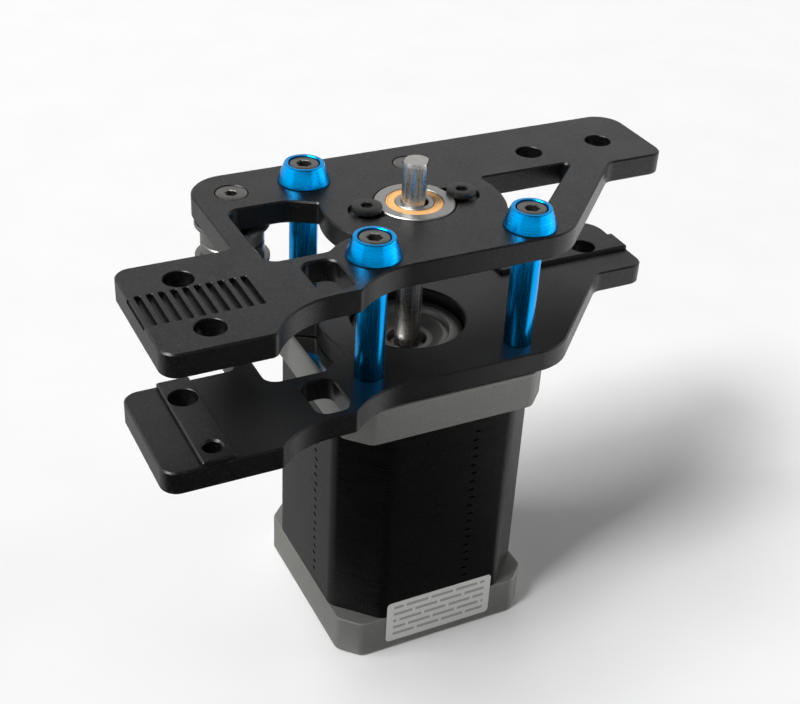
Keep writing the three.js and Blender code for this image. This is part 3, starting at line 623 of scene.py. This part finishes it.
def screw_pocket(x, y, high):
    """The round pocket that a flush screw head sits in."""
    rim = circle(x, y, SCREW_POCKET["radius"])
    return blind_cutter(rim, SCREW_POCKET["depth"], high, HOLE_CHAMFER)


def plate_body(name, plate, low, material):
    high = low + PLATE_THICKNESS
    c = PLATE_CHAMFER
    levels = [(-c, low), (0, low + c), (0, high - c), (-c, high)]
    return stack(name, plate_outline(plate), levels, material)


def make_upper_plate(material):
    low, high = UPPER_LOW, UPPER_TOP
    plate = plate_body("top_plate_machined", UPPER_PLATE, low, material)
    windows = [left_window(), right_window(), small_window()]
    cutters = [through_cutter(points, low, high) for points in windows]
    cutters += [through_cutter(circle(x, y, M5_HOLE), low, high, HOLE_CHAMFER) for x, y in UPPER_BOLTS]
    cutters.append(blind_cutter(pocket_outline(), POCKET["depth"], high, 0.15))
    cutters += [screw_pocket(x, y, high) for x, y in IDLER_PLACES.values()]
    carve(plate, "DIFFERENCE", merged("cutters", cutters))
    grooves = []
    for k in range(GROOVE["count"]):
        x = GROOVE["first"] - k * GROOVE["pitch"]
        half = GROOVE["width"] / 2
        points = rectangle(x - half, GROOVE["front"], x + half, GROOVE["back"], 0.25)
        grooves.append(blind_cutter(points, GROOVE["depth"], high, HOLE_CHAMFER))
    carve(plate, "DIFFERENCE", merged("cutters", grooves))
    bearing_hole = through_cutter(circle(0, 0, BEARING_HOLE), low, high - POCKET["depth"], 0.2)
    carve(plate, "DIFFERENCE", bearing_hole)
    return place(plate, "frame", "black_anodised_plate", "top_plate")


def key_body(x0, y0, x1, y1):
    """A raised locating key that starts inside the plate, to be joined to it."""
    levels = [(0, LOWER_TOP - 1), (0, KEY_TOP - KEY_CHAMFER), (-KEY_CHAMFER, KEY_TOP)]
    return stack("key", rectangle(x0, y0, x1, y1, 0.4), levels)


def make_lower_plate(material):
    low, high = MOTOR_TOP, LOWER_TOP
    plate = plate_body("bottom_plate_machined", LOWER_PLATE, low, material)
    inset = 0.05
    left = key_body(
        LEFT_KEY_X - KEY_HALF_WIDTH, LOWER_PLATE["tab_front"] + inset,
        LEFT_KEY_X + KEY_HALF_WIDTH, LOWER_PLATE["tab_back"] - inset,
    )
    right = key_body(
        RIGHT_KEY_START, RIGHT_KEY_Y - KEY_HALF_WIDTH,
        LOWER_PLATE["right"] - inset, RIGHT_KEY_Y + KEY_HALF_WIDTH,
    )
    carve(plate, "UNION", merged("keys", [left, right]))
    cutters = [through_cutter(points, low, high) for points in (left_window(), small_window())]
    for x, y in [LEFT_KEY_BOLT, *RIGHT_KEY_BOLTS]:
        cutters.append(through_cutter(circle(x, y, M5_HOLE), low, KEY_TOP, HOLE_CHAMFER))
    cutters.append(through_cutter(circle(*LEFT_KEY_PIN, M3_HOLE), low, KEY_TOP, 0.35))
    cutters.append(through_cutter(circle(0, 0, PILOT_RADIUS + 0.2, 96), low, high))
    cutters += [through_cutter(circle(x, y, M3_HOLE), low, high, 0.2) for x, y in IDLER_PLACES.values()]
    cutters.append(screw_pocket(*FOURTH_CORNER, high))
    carve(plate, "DIFFERENCE", merged("cutters", cutters))
    return place(plate, "frame", "black_anodised_plate", "bottom_plate")


# ------------------------------------------------------------------ screws and clamps
def socket_head(radius, top, seat, across, depth, chamfer=0.2):
    """The upper stations of a head with a hexagonal socket, from its seat to the axis."""
    return [
        (radius, seat),
        (radius, top - chamfer),
        (radius - chamfer * 0.35, top - chamfer * 0.3),
        (radius - chamfer, top),
        (("hex", across + 0.3), top),
        (("hex", across), top - 0.15),
        (("hex", across), top - depth),
        (0, top - depth - 0.25),
    ]


def make_clamps(m):
    for name, (x, y) in CLAMP_PLACES.items():
        cone = lathe(f"cone_washer_{name}_turned", [
            (M3_HOLE, 0), (4.75, 0), (4.93, 0.05), (5, 0.2), (4.98, 0.35), (3.8, 3.45), (3.73, 3.56),
            (3.62, 3.6), (3.08, 3.6), (2.95, 3.48), (2.95, 0.6), (M3_HOLE, 0.6),
        ], m["blue_cone"], (x, y, UPPER_TOP), closed=True)
        place(cone, "frame", "blue_anodised", f"cone_washer_{name}")
        standoff = lathe(f"standoff_{name}_turned", [
            (M3_HOLE, 0), (2.4, 0), (2.65, 0.08), (2.75, 0.35), (2.75, 19.65), (2.65, 19.92), (2.4, 20),
            (M3_HOLE, 20),
        ], m["blue_tube"], (x, y, LOWER_TOP), closed=True)
        place(standoff, "frame", "blue_anodised", f"standoff_{name}")
        screw = lathe(f"clamp_screw_{name}_turned", [
            (0, SCREW_END), (1.3, SCREW_END), (1.5, SCREW_END + 0.2), (1.5, SEAT_TOP),
            *socket_head(2.75, SEAT_TOP + 2.85, SEAT_TOP, 2.5, 1.5),
        ], m["screw"], (x, y, 0))
        place(screw, "frame", "dark_screw_steel", f"clamp_screw_{name}")


def countersunk_screw(name, node, x, y, top, length, m):
    screw = lathe(name, [
        (0, top - length), (1.3, top - length), (1.5, top - length + 0.2), (1.5, top - 1.75),
        *socket_head(2.95, top - 0.05, top - 0.3, 2.0, 1.1, 0.1),
    ], m["screw"], (x, y, 0))
    place(screw, "frame", "dark_screw_steel", node)


def make_screws(m):
    countersunk_screw("motor_screw_right_back_turned", "motor_screw_right_back",
                      *FOURTH_CORNER, LOWER_TOP, LOWER_TOP - SCREW_END, m)
    for side, (x, y) in IDLER_PLACES.items():
        countersunk_screw(f"idler_{side}_screw_turned", f"idler_{side}_screw", x, y, UPPER_TOP, 28.5, m)
    for side, x in (("left", -EAR_X), ("right", EAR_X)):
        seat = BEARING_TOP + 0.02
        screw = lathe(f"bearing_retaining_screw_{side}_turned", [
            (0, seat - 5), (1.3, seat - 5), (1.5, seat - 4.8), (1.5, seat),
            *socket_head(2.85, seat + 0.9, seat, 2.0, 0.7, 0.18),
        ], m["oxide"], (x, 0, 0))
        place(screw, "frame", "dark_screw_steel", f"bearing_retaining_screw_{side}")
    for name, (x, y) in MOTOR_CORNERS.items():
        screw = lathe(f"motor_tie_screw_{name}_turned", [
            (0, 1.7), (("cross", 0.7, 0.3), 1.6), (("cross", 1.7, 0.36), 0.6), (2.1, 0.6), (2.55, 0.8),
            (2.75, 1.4), (2.75, 3), (1.5, 3), (1.5, 54.6), (1.3, 54.8), (0, 54.8),
        ], m["screw"], (x, y, 0))
        place(screw, "frame", "dark_screw_steel", f"motor_tie_screw_{name}")


# ------------------------------------------------------------------ bearings, shaft, idlers
def ring_profile(inner, outer, low, high, soft=0.18):
    """A ring's closed section with softened corners."""
    return [
        (inner, low + soft), (inner + soft, low), (outer - soft, low), (outer, low + soft),
        (outer, high - soft), (outer - soft, high), (inner + soft, high), (inner, high - soft),
    ]


def flanged_profile(inner, outer, flange, width, flange_width, soft=0.18):
    """An outer ring with its flange at the upper end; the lower end stops just clear of z = 0."""
    step = width - flange_width
    return [
        (inner, soft), (inner + soft, END_GAP), (outer - 0.3, END_GAP), (outer, 0.3),
        (outer, step - 0.12), (outer - 0.1, step), (flange - 0.1, step), (flange, step + 0.1),
        (flange, width - soft), (flange - soft, width), (inner + 0.1, width), (inner, width - 0.1),
    ]


def turned_over(profile, height):
    return [(radius, height - z) for radius, z in profile][::-1]


def seal_profile(inner, outer, low, high):
    """A shield with a shallow channel between its two lips."""
    lip = high - 0.1
    return [
        (inner, low), (outer, low), (outer, lip), (outer - 0.12, high), (outer - 0.3, high),
        (outer - 0.42, lip), (inner + 0.42, lip), (inner + 0.3, high), (inner + 0.12, high), (inner, lip),
    ]


def make_support_bearing(m):
    outer = lathe("support_bearing_outer_ring_ground", flanged_profile(5.45, 6.5, 7.5, 4, 1),
                  m["bearing"], (0, 0, BEARING_LOW), 96, closed=True)
    place(outer, "frame", "bearing_steel", "support_bearing_outer_ring")
    inner = lathe("support_bearing_inner_ring_ground", ring_profile(2.55, 3.6, 0, 4, 0.15),
                  m["bearing"], (0, 0, BEARING_LOW), closed=True)
    place(inner, "rotor", "bearing_steel", "support_bearing_inner_ring")
    for level, low in (("lower", 0.15), ("upper", 3.45)):
        profile = seal_profile(3.68, 5.37, low, low + 0.4)
        if level == "lower":
            profile = turned_over(profile, 2 * low + 0.4)
        seal = lathe(f"support_bearing_seal_{level}_moulded", profile, m["seal"],
                     (0, 0, BEARING_LOW), 96, closed=True)
        place(seal, "frame", "orange_seal", f"support_bearing_seal_{level}")


def make_shaft(m):
    flat = ("flat", SHAFT_RADIUS, SHAFT_FLAT_DISTANCE, SHAFT_FLAT_DIRECTION)
    chamfered = ("flat", SHAFT_RADIUS - 0.25, SHAFT_FLAT_DISTANCE - 0.02, SHAFT_FLAT_DIRECTION)
    shaft = lathe("motor_shaft_ground", [
        (0, 2.2), (2.2, 2.2), (SHAFT_RADIUS, 2.5), (SHAFT_RADIUS, SHAFT_FLAT_START),
        (flat, SHAFT_FLAT_START + 0.02), (flat, SHAFT_TOP - 0.9), (chamfered, SHAFT_TOP),
        (0, SHAFT_TOP),
    ], m["ground"], segments=144)
    place(shaft, "rotor", "ground_steel", "motor_shaft")


def make_idler(side, x, y, m):
    width = IDLER_RING_WIDTH
    sleeve = lathe(f"idler_{side}_sleeve_turned", [
        (1.6, 0), (3.1, 0), (3.3, 0.2), (3.3, 10.4), (2.8, 11.1), (2, 11.1), (2, 20), (1.6, 20),
    ], m["idler"], (x, y, LOWER_TOP), closed=True)
    place(sleeve, "frame", "bearing_steel", f"idler_{side}_sleeve")
    upper_profile = flanged_profile(4.9, 6, 7.05, width, 0.8)
    for level, z in (("lower", IDLER_LOW), ("upper", IDLER_LOW + width)):
        profile = upper_profile if level == "upper" else turned_over(upper_profile, width)
        prefix = f"idler_{side}_{level}"
        outer = lathe(f"{prefix}_outer_ring_ground", profile, m["idler"], (x, y, z), 96, closed=True)
        place(outer, f"{prefix}_ring", "bearing_steel", f"{prefix}_outer_ring")
        inner = lathe(f"{prefix}_inner_ring_ground", ring_profile(2.05, 3.1, 0, width, 0.12),
                      m["idler"], (x, y, z), closed=True)
        place(inner, "frame", "bearing_steel", f"{prefix}_inner_ring")
        shield_low = 0.12 if level == "lower" else width - 0.37
        shield = lathe(f"{prefix}_shield", ring_profile(3.3, 4.86, shield_low, shield_low + 0.25, 0.05),
                       m["idler"], (x, y, z), closed=True)
        place(shield, f"{prefix}_ring", "bearing_steel")
    top = IDLER_LOW + 2 * width
    washer = lathe(f"idler_{side}_top_washer_turned", ring_profile(2.06, 3.3, 0, UPPER_LOW - top, 0.1),
                   m["oxide"], (x, y, top), closed=True)
    place(washer, "frame", "dark_screw_steel", f"idler_{side}_top_washer")


# ------------------------------------------------------------------ motor
def cut_square(side, cut, soft):
    """A square with its corners cut off, and each cut's two ends rounded."""
    far, near = side / 2, side / 2 - cut
    corners = [
        (far, -near), (far, near), (near, far), (-near, far),
        (-far, near), (-far, -near), (-near, -far), (near, -far),
    ]
    return outline([(x, y, soft) for x, y in corners])


def edge_levels(low, high, low_soft, high_soft):
    """Levels of a prism whose lower and upper edges are rounded."""
    turns = [math.radians(a) for a in (0, 22.5, 45, 67.5, 90)]
    under = [(-low_soft * (1 - math.sin(a)), low + low_soft * (1 - math.cos(a))) for a in turns]
    over = [(-high_soft * (1 - math.cos(a)), high - high_soft * (1 - math.sin(a))) for a in turns]
    return under + over


def corner_cutters(radius, low, high):
    """Plain round cutters at the motor's four screw places."""
    return [
        stack("cutter", circle(x, y, radius, 32), [(0, low), (0, high)])
        for x, y in MOTOR_CORNERS.values()
    ]


def make_front_flange(m):
    levels = edge_levels(STATOR_TOP + 0.02, MOTOR_TOP - 0.01, 0.25, 0.7)
    square = cut_square(MOTOR_SIDE, FLANGE_CORNER_CUT, CAST_CORNER_RADIUS)
    body = stack("motor_front_flange_cast", square, levels, m["cast"])
    cutters = corner_cutters(M3_HOLE, STATOR_TOP - 1, MOTOR_TOP + 1)
    hole = circle(0, 0, PILOT_RADIUS - 0.02, 96)
    cutters.append(stack("cutter", hole, [(0, STATOR_TOP - 1), (0, MOTOR_TOP + 1)]))
    carve(body, "DIFFERENCE", merged("cutters", cutters))
    body.data.materials.append(m["machined"])
    for face in body.data.polygons:
        face.material_index = 1 if face.normal.z > 0.99 else 0
    place(body, "frame", "cast_aluminium", "motor_front_flange")
    pilot = lathe("motor_pilot_turned", [
        (6.7, 53.9), (PILOT_RADIUS, 53.9), (PILOT_RADIUS, PILOT_TOP - 0.5),
        (10.85, PILOT_TOP - 0.18), (10.5, PILOT_TOP),
        (8.35, PILOT_TOP), (8.15, PILOT_TOP - 0.12), (8.1, 61.4), (7.25, 61.4), (6.9, 61.28),
        (5.3, 60.32), (4.9, 60.2), (4.05, 60.2), (3.9, 60.05), (3.9, 58.45), (6.7, 58.45),
    ], m["turned"], segments=96, closed=True)
    place(pilot, "frame", "cast_aluminium")


def make_stator(m):
    """The laminated stack: each sheet's edge stands out a little from the seam below it."""
    sheet, seam, relief = 0.5, 0.12, 0.05
    count = round((STATOR_TOP - REAR_CAP_TOP) / sheet)
    pitch = (STATOR_TOP - REAR_CAP_TOP) / count
    levels = []
    for k in range(count):
        z = REAR_CAP_TOP + k * pitch
        levels += [(-relief, z), (0, z + seam / 2), (0, z + pitch - seam / 2)]
    levels.append((-relief, STATOR_TOP))
    square = cut_square(STATOR_SIDE, STATOR_CORNER_CUT, STATOR_CORNER_RADIUS)
    body = stack("motor_stator_core_stack", square, levels, m["lamination"])
    carve(body, "DIFFERENCE", merged("interlocks", interlock_cutters()))
    place(body, "frame", "black_lamination", "motor_stator_core")


def interlock_cutters():
    """Pockets where the sheets are pressed into each other, in a row up the front and the left."""
    face = STATOR_SIDE / 2
    half_width, half_height, depth = 0.55, 0.27, 0.3
    cutters = []
    for k in range(20):
        z = 12.2 + 2.0 * k
        shift = 0.2 * math.sin(2.4 * k)
        pockets = (
            (5.2 + shift, -face, half_width, depth),
            (-face, -5.2 - shift, depth, half_width),
        )
        for x, y, dx, dy in pockets:
            points = rectangle(x - dx, y - dy, x + dx, y + dy, 0.05)
            cutters.append(stack("cutter", points, [(0, z - half_height), (0, z + half_height)]))
    return cutters


def make_rear_cap(m):
    levels = edge_levels(0.01, REAR_CAP_TOP - 0.02, 0.7, 0.35)
    square = cut_square(MOTOR_SIDE, REAR_CAP_CORNER_CUT, CAST_CORNER_RADIUS)
    body = stack("motor_rear_cap_cast", square, levels, m["cast"])
    cutters = corner_cutters(3.0, -1, 3.0)
    cutters.append(stack("cutter", rectangle(-8, 15, 8, 23, 0.3), [(0, 2.6), (0, REAR_CAP_TOP + 1)]))
    carve(body, "DIFFERENCE", merged("cutters", cutters))
    place(body, "frame", "cast_aluminium", "motor_rear_cap")
    face = rectangle(LABEL["left"], LABEL["low"], LABEL["right"], LABEL["high"], LABEL["radius"])
    label = stack("motor_label_foil", face, [(0, 0.02), (0, 0.13)], m["label"])
    for vertex in label.data.vertices:
        x, z, lift = vertex.co
        vertex.co = (x, -MOTOR_SIDE / 2 * MM - lift, z)
    place(label, "frame", "blank_label", "motor_label")


CAD_FINISH = {
    "bearing": ["support_bearing_ball_set", "preload_wave_washer"],
    "copper": ["motor_windings"],
    "iron": ["rotor_core_rear", "rotor_magnet", "rotor_core_front"],
    "ivory": ["motor_connector_socket"],
    "board": ["motor_terminal_board"],
}


def finish_cad_nodes(nodes, m):
    """A finish for each CAD node that still shows; it is bearing steel unless CAD_FINISH says more."""
    finish = {node: m[key] for key, names in CAD_FINISH.items() for node in names}
    for name, obj in nodes.items():
        if obj.hide_render:
            continue
        obj.data.materials.clear()
        obj.data.materials.append(finish.get(name, m["bearing"]))
    socket = nodes["motor_connector_socket"]
    bevel = socket.modifiers.new("soft_edges", "BEVEL")
    bevel.width = 0.15 * MM
    bevel.segments = 2
    bevel.limit_method = "ANGLE"


# ------------------------------------------------------------------ stage, light, camera
FLOOR_HALF = 3000
CARD_REACH = 700
WHITE_CARD_RADIUS = 900
WHITE_CARD_TOP = 380
DIM_SIDE = (-0.47, -0.88, 0.0)  # a fixed direction: the studio is darker on that side
CAMERA_PLACE = (-0.10706, -0.20131, 0.20349)
CAMERA_TURN = (57.1635, -2.7669, -25.9447)
CAMERA_LENS = 62.122


def make_stage():
    """A plain pale floor."""
    m = Nodes("pale_floor")
    grain = m.noise(30, detail=2)
    color = m.mix(m.remap(grain, 0, 1), (0.90, 0.90, 0.90), (0.92, 0.92, 0.92))
    material = m.finish(color, 0.9, Specular_IOR_Level=0.1)
    half = FLOOR_HALF
    corners = [(-half, -half, 0), (half, -half, 0), (half, half, 0), (-half, half, 0)]
    floor = mesh_object("floor", corners, [(0, 1, 2, 3)], material)


def reflected_card(name, corners, material):
    """A card that only mirror-like reflections see: it neither lights nor shades anything."""
    card = mesh_object(name, corners, [tuple(range(len(corners)))], material)
    card.visible_camera = False
    card.visible_diffuse = False
    card.visible_shadow = False


def make_cards():
    """Dark, grey and bright cards round the object, as a studio would show in its gloss.

    The bright cards stand on a circle round the object: start and end are angles in degrees, and
    low is a height above the upper plate.
    """
    black = Nodes("black_card").finish((0.002, 0.002, 0.002), 1.0)
    grey = Nodes("grey_card").finish((0.45, 0.45, 0.45), 1.0)
    near = -MOTOR_SIDE / 2 - 0.3
    far = CARD_REACH
    reflected_card("front_card", [
        (-far, near, 0.3), (-far, -far, 0.3), (far * 0.62, -far, 0.3), (-near, near, 0.3),
    ], black)
    reflected_card("left_card", [
        (near, near, 0.2), (near, far, 0.2), (-far, far, 0.2), (-far, near, 0.2),
    ], grey)
    for name, start, end, low, glow in [
        ("white_card_left", -240, -163, 0, 1.0),
        ("white_card_front", -160, -80, 50, 0.62),
        ("white_card_right", -77, 8, 0, 1.0),
    ]:
        white = Nodes(name).finish((0, 0, 0), 1.0, Emission_Color=(1, 1, 1, 1), Emission_Strength=glow)
        corners = [(start, low), (end, low), (end, WHITE_CARD_TOP), (start, WHITE_CARD_TOP)]
        places = []
        for angle, rise in corners:
            turn = math.radians(angle)
            x, y = WHITE_CARD_RADIUS * math.cos(turn), WHITE_CARD_RADIUS * math.sin(turn)
            places.append((x, y, UPPER_TOP + rise))
        reflected_card(name, places, white)


def area_light(name, direction, distance, width, height, power, glossy=True):
    """A softbox that looks at the object's middle; sizes are in metres and power in watts."""
    light = bpy.data.lights.new(name, "AREA")
    light.shape = "RECTANGLE"
    light.size = width
    light.size_y = height
    light.energy = power
    obj = bpy.data.objects.new(name, light)
    obj.visible_glossy = glossy
    centre = Vector((0, 0, 0.05))
    towards = Vector(direction).normalized()
    obj.location = centre + towards * distance
    obj.rotation_mode = "QUATERNION"
    obj.rotation_quaternion = towards.to_track_quat("Z", "Y")
    bpy.context.scene.collection.objects.link(obj)


def make_lights():
    area_light("key_left", (-0.60, -0.12, 0.79), 6.0, 1.7, 1.7, 254)
    area_light("key_back_left", (-0.56, 0.17, 0.81), 6.0, 2.0, 2.0, 130)
    area_light("back_softbox", (0.37, 0.78, 0.55), 1.1, 1.1, 0.6, 1.3)
    area_light("right_fill", (0.93, -0.33, 0.12), 1.5, 0.9, 0.3, 7)
    area_light("top_softbox", (0.30, 0.45, 0.84), 2.0, 1.3, 1.3, 2.6, glossy=False)


def make_world():
    """A studio that is bright near the horizon, dim overhead and darker on one side."""
    world = bpy.data.worlds.new("studio")
    bpy.context.scene.world = world
    world.use_nodes = True
    tree = world.node_tree
    background = tree.nodes["Background"]
    direction = tree.nodes.new("ShaderNodeTexCoord")
    parts = tree.nodes.new("ShaderNodeSeparateXYZ")
    tree.links.new(direction.outputs["Generated"], parts.inputs[0])
    facing = tree.nodes.new("ShaderNodeVectorMath")
    facing.operation = "DOT_PRODUCT"
    facing.inputs[1].default_value = DIM_SIDE
    tree.links.new(direction.outputs["Generated"], facing.inputs[0])
    strength = tree.nodes.new("ShaderNodeMath")
    strength.operation = "MULTIPLY"
    for slot, source, near, far, low, high in [
        (0, parts.outputs["Z"], 0.0, 0.55, 0.55, 0.05),
        (1, facing.outputs["Value"], 0.3, 0.9, 1.0, 0.3),
    ]:
        fade = tree.nodes.new("ShaderNodeMapRange")
        fade.interpolation_type = "SMOOTHSTEP"
        fade.inputs["From Min"].default_value = near
        fade.inputs["From Max"].default_value = far
        fade.inputs["To Min"].default_value = low
        fade.inputs["To Max"].default_value = high
        tree.links.new(source, fade.inputs["Value"])
        tree.links.new(fade.outputs["Result"], strength.inputs[slot])
    tree.links.new(strength.outputs[0], background.inputs["Strength"])
    background.inputs["Color"].default_value = (1, 1, 1, 1)


def make_camera():
    data = bpy.data.cameras.new("camera")
    data.sensor_width = 36
    data.lens = CAMERA_LENS
    data.clip_start = 0.01
    camera = bpy.data.objects.new("camera", data)
    camera.location = CAMERA_PLACE
    camera.rotation_euler = [math.radians(a) for a in CAMERA_TURN]
    bpy.context.scene.collection.objects.link(camera)
    bpy.context.scene.camera = camera


# ------------------------------------------------------------------ the scene
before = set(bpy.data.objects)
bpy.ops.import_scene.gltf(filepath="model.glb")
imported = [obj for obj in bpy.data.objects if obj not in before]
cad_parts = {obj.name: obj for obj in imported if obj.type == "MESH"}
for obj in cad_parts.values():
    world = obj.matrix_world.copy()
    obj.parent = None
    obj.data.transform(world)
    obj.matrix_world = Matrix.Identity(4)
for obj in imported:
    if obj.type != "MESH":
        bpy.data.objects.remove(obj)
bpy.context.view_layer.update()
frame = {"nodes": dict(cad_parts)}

make_camera()
make_lights()
make_world()
make_stage()
make_cards()
bpy.context.scene.view_settings.view_transform = "Standard"

materials = make_materials()
make_upper_plate(materials["plate"])
make_lower_plate(materials["plate"])
make_clamps(materials)
make_screws(materials)
make_support_bearing(materials)
make_shaft(materials)
for side, (x, y) in IDLER_PLACES.items():
    make_idler(side, x, y, materials)
make_front_flange(materials)
make_stator(materials)
make_rear_cap(materials)
finish_cad_nodes(frame["nodes"], materials)
